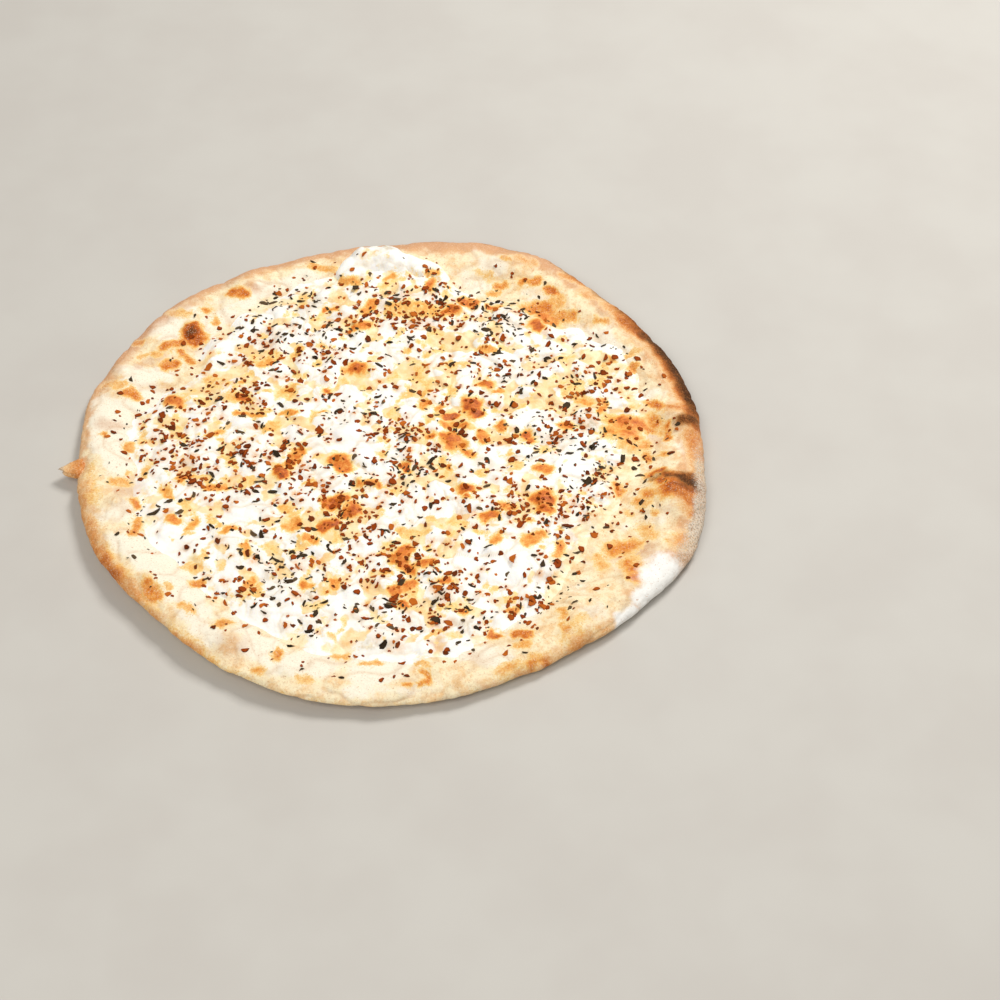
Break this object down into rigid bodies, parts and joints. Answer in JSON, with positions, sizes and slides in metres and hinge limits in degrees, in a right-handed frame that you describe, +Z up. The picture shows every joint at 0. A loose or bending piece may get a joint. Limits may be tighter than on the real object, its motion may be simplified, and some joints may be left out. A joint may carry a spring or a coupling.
{
  "type": "cheese flatbread",
  "caption": "Thin round baked flatbread with a puffed browned rim, covered by lumpy melted white cheese with chilli flakes and dark herbs.",
  "frame": {"origin": "middle of the flat underside, on the surface that the bread lies on", "axes": "+Z up out of the topped side, +X to the right edge and +Y to the back edge as it is served"},
  "size_m": [0.2888, 0.284, 0.0145],
  "materials": {
    "dough": "baked wheat dough: dry, matte, pale cream to golden brown, with charred and floury patches",
    "cheese": "melted white cheese: soft and slightly greasy, white curds in creamy yellow, with toasted spots",
    "chilli_flake": "dried red chilli flakes: rusty red brown, slightly oily",
    "herb_flake": "dried dark herb: dull grey green to nearly black"
  },
  "bodies": {
    "root": {"bread": "dough", "cheese": "cheese"}
  },
  "joints": []
}
